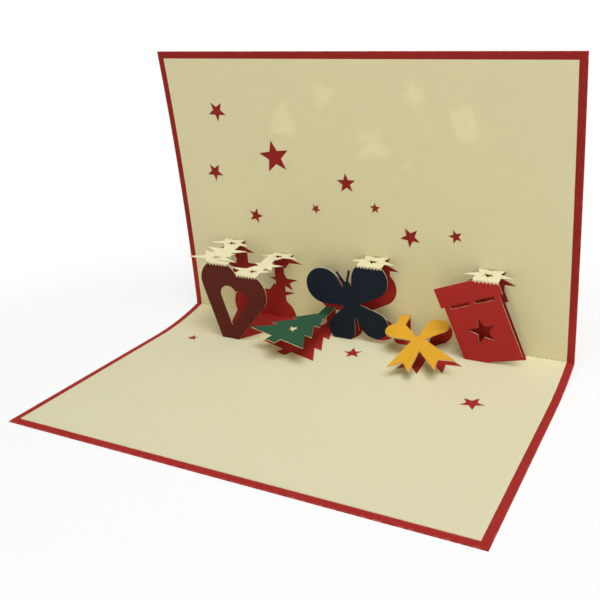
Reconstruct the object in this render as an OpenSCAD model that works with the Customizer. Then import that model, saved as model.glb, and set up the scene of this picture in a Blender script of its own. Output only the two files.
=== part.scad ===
// Pop-up greeting card standing open. A red cover is folded once, and a cream
// inner sheet is folded into it. Five figures are cut out of that sheet and fold
// forward as the card opens. Three of them stand on a crease of the lower leaf and
// hang from shelves of cut stars that fold out of the upper leaf. The other two are
// flaps that lean forward from the foot of the upper leaf. Each leaves its own
// outline in the sheet as a hole, where the red cover shows.

/* [Card] */
// Width of the card along its fold
card_w = 170; // [150:1:210]
// Length of each leaf from the fold to its free edge
leaf_len = 115; // [105:1:150]
// Thickness of the cover
cover_t = 0.4; // [0.3:0.05:0.8]
// Thickness of the inner sheet
sheet_t = 0.3; // [0.2:0.05:0.5]
// Thickness of the coloured faces
face_t = 0.2; // [0.1:0.05:0.4]
// Width of the cover left bare around the inner sheet
border = 2.8; // [1:0.2:8]
// Light edge of the sheet left bare around a coloured face
face_rim = 0.25; // [0.1:0.05:0.6]
// Width of the cut around a figure or shelf
cut_gap = 0.2; // [0.1:0.05:0.4]

/* [Opening] */
// Forward lean of the upper leaf at the fold, in degrees
wall_lean = 3.5; // [0:0.5:10]
// Radius of the upper leaf's slight forward bow
wall_r = 1000; // [700:50:3000]
// Radius of the lower leaf's curl up to the fold
curl_r = 134; // [100:1:200]
// Turn of that curl, in degrees
curl_deg = 13.8; // [6:0.2:18]

/* [Heart] */
// Place of the heart along the fold
heart_x = -48; // [-52:0.5:-46]
// Height of the shelf over its higher lobe
heart_h = 34; // [31:0.5:38]
// Height of the shelf over its lower lobe
heart_low_h = 30; // [27:0.5:34]
// Distance it stands in front of the fold
heart_d = 22.6; // [16:0.2:26]
// Radius of its lobes
lobe_r = 9; // [8:0.25:10]
// Distance between the middles of its lobes along the fold
lobe_gap = 12.9; // [11:0.1:15]
// How far the crown of a lobe runs past its crease
lobe_over = 1.3; // [0.8:0.1:2]
// How far its point would reach below the foot crease
heart_sink = 7; // [4:0.5:9]
// Sideways shift of that point
heart_skew = -6; // [-9:0.5:0]
// Size of the heart-shaped window against the heart
heart_window = 0.42; // [0.3:0.02:0.5]

/* [Butterfly] */
// Place of the butterfly along the fold
butterfly_x = -1.5; // [-3:0.5:2]
// Height of its shelf
butterfly_h = 33.6; // [30:0.4:38]
// Distance it stands in front of the fold
butterfly_d = 8.2; // [6:0.2:12]
// Tilt to the left, in degrees
butterfly_tilt = 13; // [8:1:18]
// Middle of an upper wing, sideways from the body
wing_out = 10.6; // [10:0.2:11.4]
// Middle of an upper wing, up from the body
wing_up = 9; // [8.6:0.2:9.8]
// Radius of an upper wing
wing_r = 7.8; // [7.4:0.2:8.4]
// Middle of a lower wing, sideways from the body
low_wing_out = 7.6; // [6.6:0.2:8.4]
// Middle of a lower wing, down from the body
low_wing_down = 10.4; // [9.8:0.2:11]
// Radius of a lower wing
low_wing_r = 6; // [5.6:0.2:6.6]
// Width of the head, where the body is widest
head_w = 3.6; // [2.6:0.2:4.6]
// Height of the head above the middle of the wings
head_up = 8; // [6:0.5:9]
// Length of the body below the middle of the wings
body_down = 12; // [8:0.5:13]
// Length of a feeler
feeler_len = 7; // [4:0.5:8]
// Width of a feeler
feeler_w = 0.9; // [0.6:0.1:1.4]
// Spread of a feeler from straight up, in degrees
feeler_spread = 24; // [16:1:30]

/* [Gift box] */
// Place of the box along the fold
gift_x = 51.2; // [49:0.2:53]
// Height of its shelf
gift_h = 33.8; // [30:0.4:38]
// Distance it stands in front of the fold
gift_d = 8.4; // [6:0.2:12]
// Tilt to the left, in degrees
gift_tilt = 21; // [14:1:26]
// Width of the box
box_w = 22.5; // [20:0.5:25]
// Height of the box
box_h = 33.5; // [32:0.5:36]
// Height of the lid
lid_h = 8; // [6:0.5:10]
// How far the lid stands out at each side
lid_over = 1.4; // [0.6:0.2:2]
// Radius of its star-shaped window
gift_star = 5.6; // [3:0.2:7]
// Height of the two slits under the lid
lid_slit = 1.4; // [0.8:0.2:2.4]
// Paper left between the slits and beside them
slit_end = 2.2; // [1.4:0.2:3]

/* [Tree] */
// Place of the treetop along the fold
tree_x = -15.5; // [-17:0.5:-15]
// Height of its hinge up the upper leaf
tree_h = 8; // [6:0.5:9]
// Downward lean of the flap, in degrees
tree_lean = 5; // [2:1:8]
// Distance of the treetop from the hinge
tree_c = 6; // [4:0.5:7]
// Tilt to the right, in degrees
tree_tilt = 18; // [14:1:21]
// Length of the tree without its trunk
tree_len = 27.5; // [24:0.5:30]
// Width of the lowest branches
tree_w = 30; // [26:0.5:31]
// Length of the trunk
trunk_len = 3.5; // [2:0.5:5]
// Width of the trunk
trunk_w = 5; // [3:0.5:7]
// Width of the strip that hangs it from the hinge
tree_strip = 4.5; // [3:0.5:5]
// Radius of the star-shaped window
tree_star = 2.8; // [2:0.2:3.5]

/* [Bow] */
// Place of the knot along the fold
bow_x = 29; // [27:0.5:29]
// Height of its hinge up the upper leaf
bow_h = 9.5; // [8:0.5:11]
// Downward lean of the flap, in degrees
bow_lean = 15; // [10:1:17]
// Distance of the knot from the hinge
bow_c = 15; // [14:0.25:15.5]
// Tilt to the left, in degrees
bow_tilt = 23; // [19:1:27]
// Middle of a loop, sideways from the knot
loop_out = 8; // [8:0.25:10]
// Middle of a loop, up from the knot
loop_up = 8; // [7.5:0.25:8.5]
// Radius of a loop
loop_r = 4.6; // [4.6:0.1:5.6]
// Width of the knot
knot_w = 6; // [4.5:0.25:7.5]
// Length of a tail
tail_len = 18.5; // [15:0.5:20]
// Width of a tail at its end
tail_w = 9; // [6:0.2:10]
// Spread of a tail from straight down, in degrees
tail_spread = 28; // [24:1:32]
// Width of the strip that hangs the lower loop from the hinge
bow_strip = 4; // [3:0.5:5]

/* [Stars] */
// Waist of a star against its tips
star_waist = 0.42; // [0.36:0.01:0.5]
// Half width of the stars of the shelves
shelf_star = 10; // [9:0.25:10.5]
// Width of the posts that join the stars of the long shelves
post_w = 4.6; // [3.5:0.1:6]
// Half width of the small star holes in the shelves
shelf_hole = 2.7; // [1.8:0.1:3.2]

/* [Cover windows] */
// Size of the figures cut in the cover against the figures inside
window_k = 0.36; // [0.26:0.02:0.42]

/* [Hidden] */
// Stars cut in the upper leaf: place along the fold, height, tip radius, turn
wall_stars = [
    [-60.3, 90.2, 4.4, -90],
    [-35.7, 72.3, 7.2, 98],
    [-65.6, 64.1, 4.2, -90],
    [-4.6, 63.4, 4.3, 92],
    [-47.9, 46.1, 3.6, -70],
    [-19, 51.6, 2.4, -90],
    [7.1, 54.1, 2.4, 90],
    [21.3, 43.4, 4.4, -96],
    [39.5, 45.6, 3, 180]
];
// Stars cut in the lower leaf: place along the fold, distance from it, radius, turn
floor_stars = [
    [-68, 28.3, 2.8, 180],
    [2.2, 17.7, 4.2, 180],
    [57.6, 38.8, 5, 0]
];
// Stars cut in the cover: place along the fold, height, tip radius, turn
cover_stars = [
    [21.9, 72.2, 2.8, -90],
    [36.2, 70, 2.7, -90]
];
// Places of the figures cut in the cover: along the fold, height, turn
window_places = [
    [-30.4, 87, 190],
    [-11.8, 96.3, 165],
    [7.5, 79.6, 185],
    [25.7, 99.1, 170],
    [43.8, 88.7, 200]
];
// Flat facets along the curl, up the upper leaf and round the outside of the fold
curl_steps = 12;
wall_steps = 8;
fold_steps = 6;
// Flat facets round the end of a lobe, wing or loop
arc_steps = 28;
// Step height that the butterfly and the box are drawn for
step_grid = 33.8;
// Reach of a cutting prism past the sheet that it cuts
past = 1;
big = card_w + leaf_len;
deg = 180 / PI;
// The fold is the line x, 0, 0 between cover and sheet, until the card is set down
curl_run = curl_r * sin(curl_deg);
curl_rise = curl_r * (1 - cos(curl_deg));
flat_len = leaf_len - curl_r * curl_deg / deg;
base_len = curl_run + flat_len;
wall_turn = leaf_len / wall_r * deg;

// Middle of the circle that the curl follows, as y and z
curl_c = [-curl_run, curl_r - curl_rise];
// Middle of the circle that the upper leaf follows, as y and z
wall_c = [-wall_r * cos(wall_lean), -wall_r * sin(wall_lean)];
function spun(a, p) = [p[0] * cos(a) - p[1] * sin(a), p[0] * sin(a) + p[1] * cos(a)];
// Point of the upper leaf at a length s from the fold, as y and z
function wall_pt(s) =
    let (a = wall_lean + s / wall_r * deg)
    wall_c + wall_r * [cos(a), sin(a)];
// Height of the lower leaf at a distance d in front of the fold
function base_z(d) =
    d < curl_run ? curl_r - curl_rise - sqrt(curl_r * curl_r - pow(curl_run - d, 2)) : -curl_rise;
// Slope and length of a shelf over a step, its end inside the figure, and the figure's lean
function shelf_drop(d) = atan2(-base_z(d), d);
function shelf_len(d) = norm([d, base_z(d)]);
function shelf_end(d) = shelf_len(d) + sheet_t / 2;
function front_lean(h) = wall_lean + h / wall_r * deg / 2;
// Half of a circle's chord at a height above its middle
function half_chord(r, up) = sqrt(max(0.01, r * r - up * up));

heart_left = [heart_x - lobe_gap / 2, heart_h + lobe_over - lobe_r];
heart_right = [heart_x + lobe_gap / 2, heart_low_h + lobe_over - lobe_r];
heart_tip = [heart_x + heart_skew, -heart_sink];
heart_mid = [heart_x, heart_h / 2];
lobe_line = heart_right - heart_left;
lobe_far = norm(lobe_line);
lobe_meet = sqrt(lobe_r * lobe_r - lobe_far * lobe_far / 4);
notch_x = heart_x - lobe_meet * lobe_line[1] / lobe_far;
lobe_half = half_chord(lobe_r, lobe_r - lobe_over);

butterfly_k = butterfly_h / step_grid;
butterfly_mid = [butterfly_x, butterfly_h / 2];
high_wing = butterfly_mid + butterfly_k * spun(butterfly_tilt, [wing_out, wing_up]);
high_wing_half = half_chord(butterfly_k * wing_r, butterfly_h - high_wing[1]);

gift_k = gift_h / step_grid;
gift_mid = [gift_x, gift_h / 2];
gift_top = gift_mid + gift_k * spun(gift_tilt, [box_w / 2 + lid_over, box_h / 2]);
gift_over = gift_top[1] - gift_h;
gift_crease = [gift_top[0] - gift_over / tan(gift_tilt), gift_top[0] + gift_over * tan(gift_tilt)];
gift_crease_mid = (gift_crease[0] + gift_crease[1]) / 2;

low_loop = [bow_x, -bow_c] + spun(bow_tilt, [-loop_out, loop_up]);

// Five-pointed star with its own half width and half depth
module star(rx, ry, turn) {
    polygon([
        for (i = [0:9])
            let (a = turn + 36 * i, k = i % 2 == 0 ? 1 : star_waist)
            [k * rx * cos(a), k * ry * sin(a)]
    ]);
}

// Round end drawn out to a point at p, along the two lines that touch its circle
module drop(p, c, r) {
    aim = atan2(c[1] - p[1], c[0] - p[0]);
    half = 90 + asin(r / norm(c - p));
    polygon(concat([p], [
        for (i = [0:arc_steps])
            let (a = aim - half + 2 * half * i / arc_steps)
            c + r * [cos(a), sin(a)]
    ]));
}

// Children drawn at another size about a point
module sized(k, mid) {
    translate(mid) scale(k) translate(-mid) children();
}

// Outline with a bare rim, drawn smaller about its middle
module rimmed(mid, span) {
    sized(1 - 2 * face_rim / span, mid) children();
}

// Heart with one lobe higher than the other
module heart_shape() {
    drop(heart_tip, heart_left, lobe_r);
    drop(heart_tip, heart_right, lobe_r);
}

// Part of an outline between a foot and a head
module between(foot, head) {
    intersection() {
        children();
        translate([-big, foot]) square([2 * big, head - foot]);
    }
}

// Heart cut flat at its two shelf creases and its foot crease
module heart_outline(foot, over) {
    intersection() {
        heart_shape();
        union() {
            translate([-big, foot]) square([2 * big, min(heart_h, heart_low_h) + over - foot]);
            translate([notch_x - big, foot]) square([big, heart_h + over - foot]);
            translate([notch_x, foot]) square([big, heart_low_h + over - foot]);
        }
    }
}

// Paper between the lobes, which the stars above it cut free
module heart_notch() {
    polygon([[heart_left[0], heart_h], heart_mid, [heart_right[0], heart_low_h], [heart_x, heart_h]]);
}

module heart_hole(k) {
    sized(heart_window * k, heart_mid) heart_shape();
}

// Butterfly without its feelers, with the middle of its wings at the origin
module butterfly_wings() {
    for (side = [-1, 1]) {
        drop([-side * head_w / 4, -head_w / 2], [side * wing_out, wing_up], wing_r);
        drop([-side * head_w / 4, head_w / 2], [side * low_wing_out, -low_wing_down], low_wing_r);
    }
    drop([0, -body_down], [0, head_up], head_w / 2);
}

module butterfly_shape() {
    butterfly_wings();
    for (side = [-1, 1])
        translate([0, head_up]) rotate(-side * feeler_spread)
            translate([-feeler_w / 2, 0]) square([feeler_w, feeler_len]);
}

module butterfly_outline(foot, over) {
    between(foot, butterfly_h + over)
        translate(butterfly_mid) rotate(butterfly_tilt) scale(butterfly_k) butterfly_shape();
}

// Gift box with its middle at the origin
module gift_shape() {
    square([box_w, box_h], center = true);
    translate([0, (box_h - lid_h) / 2]) square([box_w + 2 * lid_over, lid_h], center = true);
}

module gift_outline(foot, over) {
    between(foot, gift_h + over)
        translate(gift_mid) rotate(gift_tilt) scale(gift_k) gift_shape();
}

// Star window of the box and the slits under its lid
module gift_holes(rim) {
    long = box_w / 2 - 1.5 * slit_end;
    translate(gift_mid) rotate(gift_tilt) scale(gift_k) {
        translate([0, -lid_h / 2]) star(gift_star + 2 * rim, gift_star + 2 * rim, 90);
        for (side = [-1, 1])
            translate([side * (slit_end + long) / 2, (box_h - lid_slit) / 2 - lid_h])
                square([long + 2 * rim, lid_slit + 2 * rim], center = true);
    }
}

// Tree with its top at the origin
module tree_shape() {
    for (tier = [0:2]) {
        foot = -tree_len * (0.4 + 0.3 * tier);
        half = tree_w * (0.26 + 0.12 * tier);
        polygon([[0, -tree_len * 0.2 * tier], [-half, foot], [half, foot]]);
    }
    translate([-trunk_w / 2, -tree_len - trunk_len]) square([trunk_w, trunk_len + past]);
}

// Tree and the strip that it hangs by, as seen from above its flap
module tree_outline() {
    translate([tree_x, -tree_c]) rotate(-tree_tilt) tree_shape();
    tree_hanger(0);
}

module tree_hanger(rim) {
    translate([tree_x - tree_strip / 2 + rim, -tree_c - tree_strip])
        square([tree_strip - 2 * rim, tree_c + tree_strip + past]);
}

module tree_hole(k) {
    translate([tree_x, -tree_c]) rotate(-tree_tilt) translate([0, -0.66 * tree_len])
        star(tree_star * k, tree_star * k, 90);
}

// Bow with its knot at the origin
module bow_shape() {
    for (side = [-1, 1]) {
        drop([-side * knot_w / 6, -knot_w / 6], [side * loop_out, loop_up], loop_r);
        rotate(side * tail_spread)
            polygon([
                [tail_w / 4, knot_w / 6],
                [-tail_w / 4, knot_w / 6],
                [-tail_w / 2, -tail_len],
                [0, -tail_len + tail_w / 2],
                [tail_w / 2, -tail_len]
            ]);
    }
    square([knot_w, knot_w], center = true);
}

// Bow and the strip that its lower loop hangs by, as seen from above its flap
module bow_outline() {
    translate([bow_x, -bow_c]) rotate(bow_tilt) bow_shape();
    bow_hanger(0);
}

module bow_hanger(rim) {
    translate([low_loop[0] - bow_strip / 2 + rim, low_loop[1]])
        square([bow_strip - 2 * rim, past - low_loop[1]]);
}

// One row of a shelf: a star with two arms on the wall crease, and a strip to the front
module shelf_star_outline(x, half, d) {
    translate([x, -0.36 * shelf_star]) star(shelf_star, 0.56 * shelf_star, 54);
    translate([x - half, -shelf_end(d)]) square([2 * half, shelf_end(d) - 0.36 * shelf_star]);
}

// Chain of stars over the higher lobe, cut in three rows from wall to front
module high_chain(x, half, d) {
    far = shelf_len(d);
    r = shelf_star;
    translate([x - 0.55 * r, -0.35 * r]) star(r, 0.56 * r, 54);
    translate([x - 0.36 * r, -0.53 * far]) star(1.05 * r, 0.64 * r, 18);
    translate([x - 0.46 * r, -0.8 * far]) star(1.25 * r, 0.62 * r, 54);
    translate([x - 1.25 * post_w, -0.9 * far]) square([1.25 * post_w, 0.75 * far]);
    translate([x - half, -shelf_end(d)]) square([2 * half, 0.09 * far]);
}

// Chain of stars over the lower lobe
module low_chain(x, half, d) {
    far = shelf_len(d);
    r = shelf_star;
    translate([x + 0.5 * r, -0.26 * r]) star(0.95 * r, 0.42 * r, 54);
    translate([x + 0.4 * r, -0.55 * far]) star(0.72 * r, 0.46 * r, 18);
    translate([x - 0.06 * r, -0.82 * far]) star(1.05 * r, 0.5 * r, 18);
    translate([x, -0.9 * far]) square([post_w, 0.8 * far]);
    translate([x - half, -shelf_end(d)]) square([2 * half, 0.13 * far]);
}

// Only the part of a shelf or flap that lies in front of its wall crease by a gap
module from_crease(gap) {
    intersection() {
        children();
        translate([-big, -big]) square([2 * big, big - gap]);
    }
}

// Shelf outlines before their small holes are cut
module high_shelf() {
    high_chain(heart_left[0], lobe_half, heart_d);
}

module low_shelf() {
    low_chain(heart_right[0], lobe_half, heart_d);
}

module butterfly_shelf() {
    shelf_star_outline(high_wing[0], high_wing_half, butterfly_d);
}

module gift_shelf() {
    shelf_star_outline(gift_crease_mid, (gift_crease[1] - gift_crease[0]) / 2, gift_d);
}

// Small star holes along a chain
module shelf_hole_at(x, c) {
    translate([x, -c]) star(shelf_hole, 0.6 * shelf_hole, -90);
}

module high_shelf_holes() {
    shelf_hole_at(heart_left[0] - 0.46 * shelf_star, 0.42 * shelf_star);
    shelf_hole_at(heart_left[0] - 0.36 * shelf_star, 0.8 * shelf_len(heart_d));
}

module low_shelf_holes() {
    shelf_hole_at(heart_right[0] + 0.46 * shelf_star, 0.34 * shelf_star);
    shelf_hole_at(heart_right[0] + 0.1 * shelf_star, 0.82 * shelf_len(heart_d));
}

// Outline as seen from above, laid as paper on a slope that starts at height h of the wall
module on_slope(h, droop, lift, thick) {
    translate([0, wall_pt(h)[0], wall_pt(h)[1]]) rotate([droop, 0, 0]) translate([0, 0, lift])
        linear_extrude(thick) children();
}

// Outline as seen from the front, stood as paper at a distance d from the fold
module on_front(h, d, lift, thick) {
    translate([0, -d, base_z(d)]) rotate([90 + front_lean(h), 0, 0]) translate([0, 0, lift])
        linear_extrude(thick) children();
}

// Cut through the upper leaf, drawn along the fold and up from it
module through_wall() {
    translate([0, 2 * past, 0]) rotate([90, 0, 0]) linear_extrude(leaf_len / 2)
        intersection() {
            children();
            translate([-big, 0]) square([2 * big, big]);
        }
}

// Cut through the lower leaf, drawn along the fold and, below it, away from it
module through_base() {
    translate([0, 0, -curl_rise - past]) linear_extrude(curl_rise + past + 2 * sheet_t)
        intersection() {
            children();
            translate([-big, -big]) square([2 * big, big]);
        }
}

// Points along the curl from the flat leaf to the fold, at a radius of its circle
function curl_path(r) = [
    for (i = [0:curl_steps])
        let (a = curl_deg * i / curl_steps)
        curl_c + r * [sin(a), -cos(a)]
];
// Point of the upper leaf after so many of its steps, at a radius of its circle
function wall_step(r, i) =
    let (a = wall_lean + wall_turn * i / wall_steps)
    wall_c + r * [cos(a), sin(a)];
// Points up the upper leaf, ending short of its free edge by edge
function wall_path(r, edge) =
    let (rest = 1 - edge / leaf_len * wall_steps, last = wall_steps - 1)
    concat(
        [for (i = [0:last]) wall_step(r, i)],
        [wall_step(r, last) + rest * (wall_step(r, last + 1) - wall_step(r, last))]
    );
// Round outside of the fold
function fold_round(r) = [
    for (i = [1:fold_steps - 1])
        let (a = curl_deg - 90 + (90 + wall_lean - curl_deg) * i / fold_steps)
        r * [cos(a), sin(a)]
];
// Inside corner of a sheet of thickness t that lies in the fold
function fold_corner(t) =
    t / cos(curl_deg - wall_lean)
    * [-cos(curl_deg) - sin(wall_lean), cos(wall_lean) - sin(curl_deg)];
function part(path, from, to) = [for (i = [from:to]) path[i]];
function back(path) = [for (i = [len(path) - 1:-1:0]) path[i]];

// Section of the cover, outside the line of the fold
module cover_section() {
    polygon(concat(
        [[-base_len, -curl_rise - cover_t]],
        curl_path(curl_r + cover_t),
        fold_round(cover_t),
        wall_path(wall_r + cover_t, 0),
        back(wall_path(wall_r, 0)),
        back(part(curl_path(curl_r), 0, curl_steps - 1)),
        [[-base_len, -curl_rise]]
    ));
}

// Section of the inner sheet, inside the line of the fold
module sheet_section() {
    polygon(concat(
        [[-base_len + border, -curl_rise]],
        curl_path(curl_r),
        part(wall_path(wall_r, border), 1, wall_steps),
        back(part(wall_path(wall_r - sheet_t, border), 1, wall_steps)),
        [fold_corner(sheet_t)],
        back(part(curl_path(curl_r - sheet_t), 0, curl_steps - 1)),
        [[-base_len + border, -curl_rise + sheet_t]]
    ));
}

module along_fold(w) {
    rotate([90, 0, 90]) translate([0, 0, -w / 2]) linear_extrude(w) children();
}

// The card set down with the middle of its lower leaf at the origin
module set_down() {
    translate([0, base_len / 2, curl_rise + cover_t]) children();
}

// Small figure cut in the cover at one of the window places
module window(i, mid) {
    translate([window_places[i][0], window_places[i][1]]) rotate(window_places[i][2]) scale(window_k)
        translate(-mid) children();
}

module cover_windows() {
    window(0, heart_mid) heart_shape();
    window(1, [0, -tree_len / 2]) tree_shape();
    window(2, [0, 0]) butterfly_wings();
    window(3, [0, 0]) star(box_h / 2, box_h / 2, 90);
    window(4, [0, 0]) gift_shape();
    for (s = cover_stars)
        translate([s[0], s[1]]) star(s[2], s[2], s[3]);
}

// Outline of a shelf or flap drawn wider for its cut, up to its crease at height h of the wall
module slope_cut(h, x, span) {
    translate([0, wall_pt(h)[1]]) from_crease(-sheet_t / 2)
        sized(1 + 2 * cut_gap / span, [x, 0]) children();
}

// Outline of a standing figure drawn wider for its cut, down to its crease at a distance d
module front_cut(d, x, span) {
    translate([0, -d]) sized(1 + 2 * cut_gap / span, [x, 0]) children();
}

// What the shelves leave open in the upper leaf
module shelf_cuts() {
    through_wall() slope_cut(heart_h, heart_left[0], heart_d) high_shelf();
    through_wall() slope_cut(heart_low_h, heart_right[0], heart_d) low_shelf();
    through_wall() slope_cut(butterfly_h, high_wing[0], 2 * shelf_star) butterfly_shelf();
    through_wall() slope_cut(gift_h, gift_crease_mid, 2 * shelf_star) gift_shelf();
}

// What one figure leaves open in the flat sheet, on both sides of the fold
module figure_cut(i) {
    if (i == 0) front_cut(heart_d, heart_x, heart_h) {
        heart_outline(-sheet_t / 2, 0);
        heart_notch();
    }
    if (i == 1) front_cut(butterfly_d, butterfly_x, butterfly_h) butterfly_outline(-sheet_t / 2, 0);
    if (i == 2) front_cut(gift_d, gift_x, gift_h) gift_outline(-sheet_t / 2, 0);
    if (i == 3) slope_cut(tree_h, tree_x, tree_len) tree_outline();
    if (i == 4) slope_cut(bow_h, bow_x, 2 * bow_c) bow_outline();
}

module star_cuts() {
    for (s = wall_stars)
        through_wall() translate([s[0], s[1]]) star(s[2], s[2], s[3]);
    for (s = floor_stars)
        through_base() translate([s[0], -s[1]]) star(s[2], s[2], s[3]);
}

module cover() {
    color("firebrick") set_down() difference() {
        along_fold(card_w) cover_section();
        through_wall() cover_windows();
    }
}

module flat_sheet() {
    difference() {
        along_fold(card_w - 2 * border) sheet_section();
        star_cuts();
        shelf_cuts();
        for (i = [0:4]) {
            through_wall() figure_cut(i);
            through_base() figure_cut(i);
        }
    }
}

// Paper of a shelf from the middle of the wall's sheet to the middle of the figure's sheet
module shelf(h, d) {
    on_slope(h, shelf_drop(d), 0, sheet_t) between(-shelf_end(d), -sheet_t / 2) children();
}

module shelves() {
    shelf(heart_h, heart_d) difference() {
        high_shelf();
        high_shelf_holes();
    }
    shelf(heart_low_h, heart_d) difference() {
        low_shelf();
        low_shelf_holes();
    }
    shelf(butterfly_h, butterfly_d) difference() {
        butterfly_shelf();
        shelf_hole_at(high_wing[0], 0.46 * shelf_star);
    }
    shelf(gift_h, gift_d) difference() {
        gift_shelf();
        shelf_hole_at(gift_crease_mid, 0.46 * shelf_star);
    }
}

module figures() {
    root = sheet_t / 2;
    on_front(heart_h, heart_d, 0, sheet_t) difference() {
        heart_outline(root, sheet_t);
        heart_hole(1);
    }
    on_front(butterfly_h, butterfly_d, 0, sheet_t) butterfly_outline(root, sheet_t);
    on_front(gift_h, gift_d, 0, sheet_t) difference() {
        gift_outline(root, sheet_t);
        gift_holes(0);
    }
    on_slope(tree_h, tree_lean, 0, sheet_t) from_crease(root) difference() {
        tree_outline();
        tree_hole(1);
    }
    on_slope(bow_h, bow_lean, 0, sheet_t) from_crease(root) bow_outline();
}

module inner_sheet() {
    color("lemonchiffon") set_down() {
        flat_sheet();
        shelves();
        figures();
    }
}

module heart_face() {
    color("maroon") set_down() on_front(heart_h, heart_d, sheet_t, face_t) difference() {
        rimmed(heart_mid, heart_h) heart_outline(2 * sheet_t, 0);
        heart_hole(1 + 2 * face_rim / (heart_window * heart_h));
    }
}

module tree_face() {
    color("darkgreen") set_down() on_slope(tree_h, tree_lean, sheet_t, face_t) difference() {
        from_crease(2 * sheet_t) {
            rimmed([tree_x, -tree_c - tree_len / 2], tree_len)
                translate([tree_x, -tree_c]) rotate(-tree_tilt) tree_shape();
            tree_hanger(face_rim);
        }
        tree_hole(1 + face_rim / tree_star);
    }
}

module butterfly_face() {
    color("midnightblue") set_down() on_front(butterfly_h, butterfly_d, sheet_t, face_t)
        rimmed(butterfly_mid, butterfly_h) butterfly_outline(2 * sheet_t, 0);
}

module bow_face() {
    color("goldenrod") set_down() on_slope(bow_h, bow_lean, sheet_t, face_t)
        from_crease(2 * sheet_t) {
            rimmed([bow_x, -bow_c], 2 * bow_c) translate([bow_x, -bow_c]) rotate(bow_tilt) bow_shape();
            bow_hanger(face_rim);
        }
}

module gift_face() {
    color("red") set_down() on_front(gift_h, gift_d, sheet_t, face_t) difference() {
        rimmed(gift_mid, gift_h) gift_outline(2 * sheet_t, 0);
        gift_holes(face_rim);
    }
}

cover();
inner_sheet();
heart_face();
tree_face();
butterfly_face();
bow_face();
gift_face();
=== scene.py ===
import math
from typing import NamedTuple

import bpy
from mathutils import Matrix, Vector


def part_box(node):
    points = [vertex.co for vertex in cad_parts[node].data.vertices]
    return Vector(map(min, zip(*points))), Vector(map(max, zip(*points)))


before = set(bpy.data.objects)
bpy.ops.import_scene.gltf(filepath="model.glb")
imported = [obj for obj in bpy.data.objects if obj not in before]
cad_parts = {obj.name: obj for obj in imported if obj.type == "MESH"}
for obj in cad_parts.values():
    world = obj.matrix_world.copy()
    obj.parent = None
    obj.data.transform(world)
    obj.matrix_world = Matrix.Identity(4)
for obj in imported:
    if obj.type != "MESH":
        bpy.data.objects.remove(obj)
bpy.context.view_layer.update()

bl_info = {
    "name": "Pop-up card",
    "version": (1, 0, 0),
    "blender": (4, 5, 0),
    "location": "3D View > Sidebar > Card",
    "description": "Dresses an open pop-up greeting card in card stock, paper and printed colours",
    "category": "Object",
}

MM = 1000.0


def corners(node):
    """Lowest and highest corner of a node's box, in millimetres."""
    return [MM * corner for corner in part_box(node)]


# Places on the card, in millimetres: the cover's edges, the sheet's main fold, and the heights over which
# painted shade darkens the cover's red up the upper leaf
COVER_LOW, COVER_HIGH = corners("cover")
FOLD_Y = corners("inner_sheet")[1].y
FOLD_Z = 4.57
PAINTED_SHADE_FROM = 8
PAINTED_SHADE_TO = 40

# Figures along the card, and those that hang forward from the upper leaf and face up
FIGURES = ("heart", "tree", "butterfly", "bow", "gift")
FLAPS = ("tree", "bow")

# Folds of the shelves and flaps on the upper leaf, in millimetres: both ends along x, then y and z
WALL_FOLDS = (
    (-66.0, -54.0, 54.7, 38.15),
    (-42.2, -30.9, 55.05, 34.2),
    (-17.7, -13.3, 56.8, 12.25),
    (0.9, 12.6, 54.75, 37.75),
    (16.5, 20.5, 56.7, 13.75),
    (47.5, 59.3, 54.7, 37.95),
)
# Folds between a shelf and the top of its figure, in millimetres: both ends along x, then z
TOP_FOLDS = {
    "heart": ((-59.1, -49.8, 34.6), (-46.2, -36.9, 30.65)),
    "butterfly": ((1.5, 12.0, 36.0),),
    "gift": ((48.5, 58.3, 36.2),),
}

# Half width and soft edge of the marks that follow a fold, in millimetres
FOLD_DEPTH = (0.55, 0.1)
FOLD_HEIGHT = (0.3, 0.12)
CREASE_DEPTH = (0.8, 0.2)
CREASE_HEIGHT = (0.24, 0.1)
TOOTH_HEIGHT = (0.5, 0.1)
BARE_HEIGHT = (0.7, 0.1)
# Bare teeth lie this far under the fold, and a figure's colour reaches this far past its face
TOOTH_DROP = 0.2
RIM = 0.5
# Soft ends of a mark along x, and of a box
END_SOFT = 0.15
BOX_SOFT = 0.05

# Noise and dashes rise from 0 to 1 over these spans
NOISE_SPAN = (0.3, 0.7)
PATCH_SPAN = (0.25, 0.75)
RUB_SPAN = (0.42, 0.66)
DASH_SPAN = (0.38, 0.62)
# Parts of a surface's direction over which it turns from a fold to a cut edge, and to a figure's front
CUT_SPAN = (0.05, 0.25)
FRONT_SPAN = (0.4, 0.6)
# Relief of the paper: the share of its fine fibres, and how much larger the broad ones are
FINE_SHARE = 0.75
BROAD = 5
# Sizes of the scorched patches, the rubbed spots and the floor's specks, in millimetres
PATCH = 3
SPOT = 2.2
SPECK = 1.4

# Shine of uncoated paper, and of the floor
PAPER_SHINE = 0.12
FLOOR_SHINE = 0.1

# The floor fades into the white background between these distances, in millimetres
FADE = (130, 230)
# Lamps: name, their strength and tone among the stage's settings, width and place in metres
LAMPS = (
    ("overhead", "key", "cool", 0.8, (0.3, -0.32, 1.0)),
    ("front", "fill", "warm", 0.3, (0.0, -0.6, 0.12)),
    ("behind", "back", "warm", 0.4, (0.0, 0.55, 0.12)),
)
# All lamps point at the foot of the figures
LAMP_AIM = Vector((0, 0.02, 0.03))
WHITE = (1, 1, 1, 1)


class Stock(NamedTuple):
    """One kind of paper: relief, share and size of its clouds, its darkest and lightest fibres, and gloss."""
    relief: float
    clouds: float
    cloud_size: float
    dark: float
    light: float
    lift: float
    roughness: float
    spread: float


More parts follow.
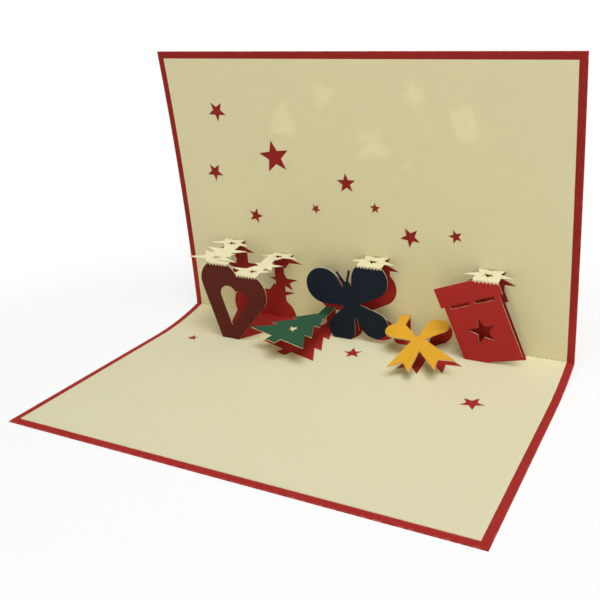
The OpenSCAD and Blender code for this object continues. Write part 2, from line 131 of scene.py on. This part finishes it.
CARD = Stock(relief=0.5, clouds=0.2, cloud_size=1, dark=0.84, light=1.12, lift=0.006,
             roughness=0.62, spread=0.2)
CREAM = Stock(relief=0.45, clouds=0.12, cloud_size=1, dark=0.965, light=1.02, lift=0,
              roughness=0.7, spread=0.18)
PRINT = Stock(relief=0.55, clouds=0.25, cloud_size=0.5, dark=0.9, light=1.07, lift=0.002,
              roughness=0.6, spread=0.2)


def tone(red, green, blue):
    """Linear colour of a swatch given in the usual 0 to 255 steps."""
    def linear(step):
        c = step / 255
        return c / 12.92 if c <= 0.04045 else ((c + 0.055) / 1.055) ** 2.4
    return (linear(red), linear(green), linear(blue))


def swatch(name, description, red, green, blue):
    """Setting for a colour, in the usual 0 to 255 steps."""
    return bpy.props.FloatVectorProperty(
        name=name, description=description, subtype="COLOR", min=0, max=1, default=tone(red, green, blue))


def share(name, description, default):
    """Setting for a share, from none to all."""
    return bpy.props.FloatProperty(
        name=name, description=description, subtype="FACTOR", min=0, max=1, default=default)


def breadth(name, description, default, most):
    """Setting for a size on the paper, in millimetres."""
    return bpy.props.FloatProperty(
        name=name, description=f"{description}, in millimetres", min=0.05, max=most, default=default)


def distance(name, description, default, most):
    """Setting for a length in metres."""
    return bpy.props.FloatProperty(
        name=name, description=description, subtype="DISTANCE", unit="LENGTH", min=0, max=most,
        default=default)


def strength(name, description, default, most):
    """Setting for a lamp's strength."""
    return bpy.props.FloatProperty(
        name=name, description=description, subtype="POWER", unit="POWER", min=0, max=most, default=default)


def angle(name, description, degrees):
    """Setting for an angle."""
    return bpy.props.FloatProperty(
        name=name, description=description, subtype="ANGLE", unit="ROTATION", default=math.radians(degrees))


class CardTones(bpy.types.PropertyGroup):
    """Colours of the card's papers and of the marks on them."""
    cover: swatch("Cover", "Red card stock of the cover", 160, 37, 33)
    sheet: swatch("Sheet", "Cream paper of the inner sheet", 224, 217, 178)
    heart: swatch("Heart", "Maroon face of the heart", 86, 32, 26)
    tree: swatch("Tree", "Green face of the tree", 44, 82, 60)
    butterfly: swatch("Butterfly", "Navy face of the butterfly", 17, 28, 42)
    bow: swatch("Bow", "Yellow face of the bow", 219, 162, 45)
    gift: swatch("Gift box", "Red face of the gift box", 166, 42, 40)
    worn: swatch("Worn edge", "Pale core of the card stock at its worn edges", 214, 128, 118)
    scorched: swatch("Scorched edge", "Brown of the cut edges of the cream paper", 122, 84, 48)
    fold: swatch("Fold", "Brown of the dashes along the main fold", 150, 96, 66)
    crease: swatch("Crease", "Brown of the dashes along the small folds", 132, 92, 58)


class CardPaper(bpy.types.PropertyGroup):
    """Grain, folds and wear of the papers."""
    fibre: breadth("Fibre size", "Size of the paper's fibres", 0.55, 3)
    cloud: breadth("Cloud size", "Size of the paper's faint clouds", 17, 60)
    relief: distance("Relief", "Height of the grain", 0.00004, 0.0005)
    # Painted shade: the red of the standing upper leaf is darkened by this share for the light that falls
    # less on it, not a darker stock
    shade: share("Upper shade", "How much darker the stock of the upper leaf is", 0.2)
    wear: breadth("Edge wear", "Width of the worn edge", 0.5, 2)
    rub: share("Rub", "How pale the worn edge is", 0.4)
    scorch: share("Scorch", "How brown the cut edges of the cream paper are", 0.5)
    dash: breadth("Dash", "Length of a dash and its gap along the main fold", 1.9, 6)
    dash_mark: share("Dash mark", "How strong the dashes of the main fold are", 0.28)
    tooth: breadth("Tooth", "Length of a tooth and its gap along a small fold", 1.4, 4)
    crease_mark: share("Crease mark", "How strong the dashes of the small folds are", 0.55)
    tooth_mark: share("Tooth mark", "How bare the teeth at the top of a figure are", 0.85)
    glow: share("Glow", "How much light the cream paper lets through", 0.28)
    glow_depth: distance("Glow depth", "How far light spreads in the cream paper", 0.0012, 0.01)


class CardStage(bpy.types.PropertyGroup):
    """Floor, lamps and camera."""
    floor_size: distance("Floor", "Half width of the floor", 3, 10)
    floor_white: share("Floor white", "How white the floor looks close to the card", 0.66)
    sky: bpy.props.FloatProperty(
        name="Sky", description="Strength of the even light from all round", min=0, max=2, default=0.165)
    key: strength("Overhead lamp", "Strength of the large lamp overhead", 11.0, 200)
    fill: strength("Front lamp", "Strength of the weak lamp in front", 0.76, 20)
    back: strength("Back lamp", "Strength of the weak lamp behind, which shows through the windows", 1.1, 20)
    cool: swatch("Overhead tone", "Colour of the lamp overhead", 246, 249, 255)
    warm: swatch("Low tone", "Colour of the lamps in front and behind", 255, 235, 165)
    lens: bpy.props.FloatProperty(
        name="Lens", description="Focal length in millimetres", min=10, max=200, default=49.72)
    place: bpy.props.FloatVectorProperty(
        name="Camera place", description="Where the camera stands", subtype="XYZ", unit="LENGTH",
        default=(0.131325, -0.236538, 0.137614))
    azimuth: angle("Azimuth", "Turn of the view to the left of straight in", 27.6783)
    elevation: angle("Elevation", "Tilt of the view below the horizon", 17.6896)
    roll: angle("Roll", "Turn of the picture", -1.9476)
    shift: bpy.props.FloatVectorProperty(
        name="Shift", description="Shift of the picture in its frame", size=2, default=(-0.0245, -0.0646))


class Field:
    """A value over a surface. Arithmetic on it adds Math nodes, and node() adds any other node."""

    def __init__(self, tree, socket=None):
        self.tree = tree
        self.socket = socket

    def node(self, kind, settings=None, sockets=None, out=0):
        """New node with its settings, then the values or links of its sockets."""
        made = self.tree.nodes.new(kind)
        for name, value in (settings or {}).items():
            setattr(made, name, value)
        for name, value in (sockets or {}).items():
            put(made.inputs[name], value)
        return Field(self.tree, made.outputs[out])

    def math(self, operation, *values):
        return self.node("ShaderNodeMath", {"operation": operation}, dict(enumerate(values)))

    def __add__(self, other):
        return self.math("ADD", self, other)

    __radd__ = __add__

    def __sub__(self, other):
        return self.math("SUBTRACT", self, other)

    def __rsub__(self, other):
        return self.math("SUBTRACT", other, self)

    def __mul__(self, other):
        return self.math("MULTIPLY", self, other)

    __rmul__ = __mul__

    def __abs__(self):
        return self.math("ABSOLUTE", self)

    def least(self, other):
        return self.math("MINIMUM", self, other)

    def most(self, other):
        return self.math("MAXIMUM", self, other)

    def smooth(self, start, end):
        """Rises smoothly from 0 at start to 1 at end."""
        sockets = {"Value": self, "From Min": start, "From Max": end}
        return self.node("ShaderNodeMapRange", {"interpolation_type": "SMOOTHSTEP"}, sockets)

    def inside(self, half, soft):
        """1 where the value is within half of zero, with a soft edge."""
        return 1 - abs(self).smooth(half - soft, half + soft)

    def between(self, start, end, soft):
        """1 where the value lies between two others, with soft ends."""
        return (self - (start + end) / 2).inside((end - start) / 2, soft)

    def dashes(self, period):
        """1 on the dashes of a line that the value runs along, and 0 between them."""
        half = period / 2
        return (self.math("PINGPONG", self, half) * (1 / half)).smooth(*DASH_SPAN)

    def tint(self, below, above):
        """Colour below where the value is 0 and above where it is 1."""
        below, above = (c if isinstance(c, Field) else (*c, 1) for c in (below, above))
        sockets = {"Factor": self, 6: below, 7: above}
        return self.node("ShaderNodeMix", {"data_type": "RGBA"}, sockets, 2)

    def parts(self):
        """The three parts of a vector."""
        split = self.node("ShaderNodeSeparateXYZ", sockets={0: self}).socket.node
        return [Field(self.tree, part) for part in split.outputs]

    def noise(self, size, detail, roughness=0.5):
        """Even noise over a place, with features of a size in millimetres."""
        sockets = {"Vector": self, "Scale": 1 / size, "Detail": detail, "Roughness": roughness}
        return self.node("ShaderNodeTexNoise", sockets=sockets)


def put(socket, value):
    """Sets a value on a socket, or links a field to it."""
    if isinstance(value, Field):
        value.tree.links.new(value.socket, socket)
    else:
        socket.default_value = value


def blank(name):
    """New material, its Principled shader, and each point's place on the piece in millimetres."""
    material = bpy.data.materials.new(name)
    material.use_nodes = True
    shader = material.node_tree.nodes["Principled BSDF"]
    place = Field(material.node_tree).node("ShaderNodeTexCoord", out="Object")
    place = place.node("ShaderNodeVectorMath", {"operation": "SCALE"}, {0: place, "Scale": MM})
    return material, shader, place


def feed(shader, **values):
    """Values or fields on the shader's sockets, by their names with _ for a space."""
    for name, value in values.items():
        put(shader.inputs[name.replace("_", " ")], value)


class Paper:
    """Material of one paper, with its felt-like relief and gloss: places on it, and its mottling."""

    def __init__(self, name, stock, settings):
        self.stock = stock
        self.material, self.shader, self.place = blank(name)
        self.x, self.y, self.z = self.place.parts()
        fine = self.place.noise(settings.fibre, detail=5, roughness=0.62)
        broad = self.place.noise(BROAD * settings.fibre, detail=3)
        cloud = self.place.noise(stock.cloud_size * settings.cloud, detail=3)
        self.mottle = (fine * (1 - stock.clouds) + cloud * stock.clouds).smooth(*NOISE_SPAN)
        height = fine * FINE_SHARE + broad * (1 - FINE_SHARE)
        sockets = {"Strength": stock.relief, "Distance": settings.relief, "Height": height}
        normal = self.place.node("ShaderNodeBump", sockets=sockets)
        feed(self.shader, Normal=normal, Roughness=stock.roughness + stock.spread * fine,
             Specular_IOR_Level=PAPER_SHINE)

    def colour(self, base, shade=0):
        """A colour with the paper's darker and lighter fibres in it, made darker by a share of painted shade.
        """
        dark = [(1 - shade) * self.stock.dark * c for c in base]
        light = [(1 - shade) * min(1, self.stock.light * c + self.stock.lift) for c in base]
        return self.mottle.tint(dark, light)

    def facing(self):
        """The three parts of the surface's own direction."""
        return self.place.node("ShaderNodeTexCoord", out="Normal").parts()

    def within(self, low, high, past):
        """1 inside a box that is drawn larger all round."""
        ways = zip((self.x, self.y, self.z), low, high)
        x, y, z = (part.between(start - past, end + past, BOX_SOFT) for part, start, end in ways)
        return x * y * z

    def finish(self, node, colour, **values):
        """Feeds the last colour to the shader, and dresses a node's own slots in the paper."""
        feed(self.shader, Base_Color=colour, **values)
        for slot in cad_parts[node].material_slots:
            slot.material = self.material


class CARD_OT_cover(bpy.types.Operator):
    """Red card stock for the folded cover, worn along its free edges, with painted shade darkening the red of
    its upper leaf
    """
    bl_idname = "card.cover"
    bl_label = "Cover"

    def execute(self, context):
        tones, settings = context.scene.card_tones, context.scene.card_paper
        paper = Paper("red card stock", CARD, settings)
        # Painted shade: the red grows darker up the standing upper leaf, where less light falls
        upper = paper.z.smooth(PAINTED_SHADE_FROM, PAINTED_SHADE_TO)
        colour = upper.tint(paper.colour(tones.cover), paper.colour(tones.cover, settings.shade))
        side = COVER_HIGH.x - abs(paper.x)
        edge = side.least(COVER_HIGH.z - paper.z).least(paper.y - COVER_LOW.y)
        spots = paper.place.noise(SPOT, detail=4, roughness=0.6).smooth(*RUB_SPAN)
        rubbed = (1 - edge.smooth(0, settings.wear)) * spots * settings.rub
        paper.finish("cover", rubbed.tint(colour, tones.worn))
        return {"FINISHED"}


def scorch_cuts(paper, colour, tones, settings):
    """Browns the cut edges. Every fold runs along x, so a side that faces along x is a cut edge."""
    cut = abs(paper.facing()[0]).smooth(*CUT_SPAN)
    patches = paper.place.noise(PATCH, detail=2).smooth(*PATCH_SPAN)
    return (cut * patches * settings.scorch).tint(colour, tones.scorched)


def colour_rims(paper, colour, tones):
    """Brings each figure's colour out to its rim, apart from the fold under a shelf."""
    ahead, above = paper.facing()[1:]
    for figure in FIGURES:
        front = above if figure in FLAPS else -1 * ahead
        rim = paper.within(*corners(f"{figure}_face"), RIM) * front.smooth(*FRONT_SPAN)
        for start, end, level in TOP_FOLDS.get(figure, ()):
            bare = paper.x.between(start, end, END_SOFT) * (paper.z - level).inside(*BARE_HEIGHT)
            rim = rim * (1 - bare)
        colour = rim.tint(colour, getattr(tones, figure))
    return colour


def mark_folds(paper, colour, tones, settings):
    """Draws the perforations of the main fold, and of the folds of shelves and flaps."""
    fold = (paper.y - FOLD_Y).inside(*FOLD_DEPTH) * (paper.z - FOLD_Z).inside(*FOLD_HEIGHT)
    colour = (fold * paper.x.dashes(settings.dash) * settings.dash_mark).tint(colour, tones.fold)
    for start, end, back, level in WALL_FOLDS:
        line = (paper.y - back).inside(*CREASE_DEPTH) * (paper.z - level).inside(*CREASE_HEIGHT)
        line = line * paper.x.between(start, end, END_SOFT) * paper.x.dashes(settings.tooth)
        colour = (line * settings.crease_mark).tint(colour, tones.crease)
    return colour


class CARD_OT_sheet(bpy.types.Operator):
    """Cream paper for the inner sheet, with scorched cuts, coloured rims and perforated folds"""
    bl_idname = "card.sheet"
    bl_label = "Inner sheet"

    def execute(self, context):
        tones, settings = context.scene.card_tones, context.scene.card_paper
        paper = Paper("cream paper", CREAM, settings)
        colour = scorch_cuts(paper, paper.colour(tones.sheet), tones, settings)
        colour = colour_rims(paper, colour, tones)
        colour = mark_folds(paper, colour, tones, settings)
        paper.finish("inner_sheet", colour, Subsurface_Weight=settings.glow,
                     Subsurface_Radius=(1, 1, 1), Subsurface_Scale=settings.glow_depth)
        return {"FINISHED"}


class CARD_OT_faces(bpy.types.Operator):
    """Printed paper for the five coloured faces, with bare teeth along the fold under a shelf"""
    bl_idname = "card.faces"
    bl_label = "Coloured faces"

    def execute(self, context):
        tones, settings = context.scene.card_tones, context.scene.card_paper
        for figure in FIGURES:
            paper = Paper(f"{figure} print", PRINT, settings)
            colour = paper.colour(getattr(tones, figure))
            for start, end, level in TOP_FOLDS.get(figure, ()):
                teeth = paper.x.between(start, end, END_SOFT) * paper.x.dashes(settings.tooth)
                teeth = teeth * (paper.z - (level - TOOTH_DROP)).inside(*TOOTH_HEIGHT)
                colour = (teeth * settings.tooth_mark).tint(colour, tones.sheet)
            paper.finish(f"{figure}_face", colour)
        return {"FINISHED"}


def seen_rays(field):
    """1 on the rays that show the background: to the camera, in gloss and through clear things."""
    rays = [field.node("ShaderNodeLightPath", out=f"Is {kind} Ray")
            for kind in ("Camera", "Glossy", "Transmission")]
    return rays[0].most(rays[1]).most(rays[2])


def lay_floor(stage):
    """Pale floor that keeps the card's shadow, and fades into the white background away from it."""
    bpy.ops.object.select_all(action="DESELECT")
    bpy.ops.mesh.primitive_plane_add(size=2 * stage.floor_size, location=(0, 0, 0))
    floor = bpy.context.object
    floor.name = "floor"
    material, shader, place = blank("pale floor")
    speck = place.noise(SPECK, detail=4).smooth(*NOISE_SPAN)
    colour = speck.tint(tone(246, 246, 246), tone(250, 250, 250))
    feed(shader, Base_Color=colour, Roughness=0.8, Specular_IOR_Level=FLOOR_SHINE)
    away = place.node("ShaderNodeVectorMath", {"operation": "LENGTH"}, {0: place}, "Value")
    glow = seen_rays(place) * (stage.floor_white + (1 - stage.floor_white) * away.smooth(*FADE))
    lit = Field(material.node_tree, shader.outputs["BSDF"])
    white = place.node("ShaderNodeEmission", sockets={"Color": WHITE, "Strength": 1})
    mixed = place.node("ShaderNodeMixShader", sockets={0: glow, 1: lit, 2: white})
    put(material.node_tree.nodes["Material Output"].inputs["Surface"], mixed)
    floor.data.materials.append(material)


def light_sky(stage):
    """Even light from all round, seen as plain white."""
    world = bpy.data.worlds.new("studio")
    bpy.context.scene.world = world
    world.use_nodes = True
    world.node_tree.nodes.clear()
    air = Field(world.node_tree)
    soft = air.node("ShaderNodeBackground", sockets={"Color": WHITE, "Strength": stage.sky})
    white = air.node("ShaderNodeBackground", sockets={"Color": WHITE, "Strength": 1})
    mixed = air.node("ShaderNodeMixShader", sockets={0: seen_rays(air), 1: soft, 2: white})
    put(world.node_tree.nodes.new("ShaderNodeOutputWorld").inputs["Surface"], mixed)


def hang_lamp(name, power, colour, width, place):
    """Round soft lamp that the camera doesn't see."""
    lamp = bpy.data.lights.new(name, "AREA")
    lamp.shape = "DISK"
    lamp.size = width
    lamp.energy = power
    lamp.color = colour
    hung = bpy.data.objects.new(name, lamp)
    hung.location = place
    hung.rotation_euler = (LAMP_AIM - hung.location).to_track_quat("-Z", "Y").to_euler()
    hung.visible_camera = False
    bpy.context.scene.collection.objects.link(hung)


def set_camera(stage):
    """Camera at its place, turned by its azimuth, elevation and roll."""
    camera = bpy.data.cameras.new("camera")
    camera.sensor_width = 36
    camera.lens = stage.lens
    camera.shift_x, camera.shift_y = stage.shift
    camera.clip_start = 0.01
    turned = Matrix.Rotation(stage.azimuth, 4, "Z")
    tilted = Matrix.Rotation(math.pi / 2 - stage.elevation, 4, "X")
    rolled = Matrix.Rotation(stage.roll, 4, "Z")
    seer = bpy.data.objects.new("camera", camera)
    seer.matrix_world = Matrix.Translation(stage.place) @ turned @ tilted @ rolled
    bpy.context.scene.collection.objects.link(seer)
    bpy.context.scene.camera = seer


class CARD_OT_stage(bpy.types.Operator):
    """Pale floor, soft light and the camera"""
    bl_idname = "card.stage"
    bl_label = "Stage"

    def execute(self, context):
        stage = context.scene.card_stage
        context.scene.view_settings.view_transform = "Standard"
        lay_floor(stage)
        light_sky(stage)
        for name, power, colour, width, place in LAMPS:
            hang_lamp(name, getattr(stage, power), getattr(stage, colour), width, place)
        set_camera(stage)
        return {"FINISHED"}


class VIEW3D_PT_card(bpy.types.Panel):
    """The card's papers, its stage and the steps that make them"""
    bl_label = "Pop-up card"
    bl_space_type = "VIEW_3D"
    bl_region_type = "UI"
    bl_category = "Card"

    def draw(self, context):
        for name, group in GROUPS.items():
            column = self.layout.box().column()
            for setting in group.__annotations__:
                column.prop(getattr(context.scene, name), setting)
        for step in STEPS:
            self.layout.operator(step.bl_idname)


STEPS = (CARD_OT_cover, CARD_OT_sheet, CARD_OT_faces, CARD_OT_stage)
GROUPS = {"card_tones": CardTones, "card_paper": CardPaper, "card_stage": CardStage}
CLASSES = (*GROUPS.values(), *STEPS, VIEW3D_PT_card)


def register():
    for cls in CLASSES:
        bpy.utils.register_class(cls)
    for name, group in GROUPS.items():
        setattr(bpy.types.Scene, name, bpy.props.PointerProperty(type=group))


def unregister():
    for name in GROUPS:
        delattr(bpy.types.Scene, name)
    for cls in reversed(CLASSES):
        bpy.utils.unregister_class(cls)


def main():
    register()
    bpy.ops.card.cover()
    bpy.ops.card.sheet()
    bpy.ops.card.faces()
    bpy.ops.card.stage()


if __name__ == "__main__":
    main()
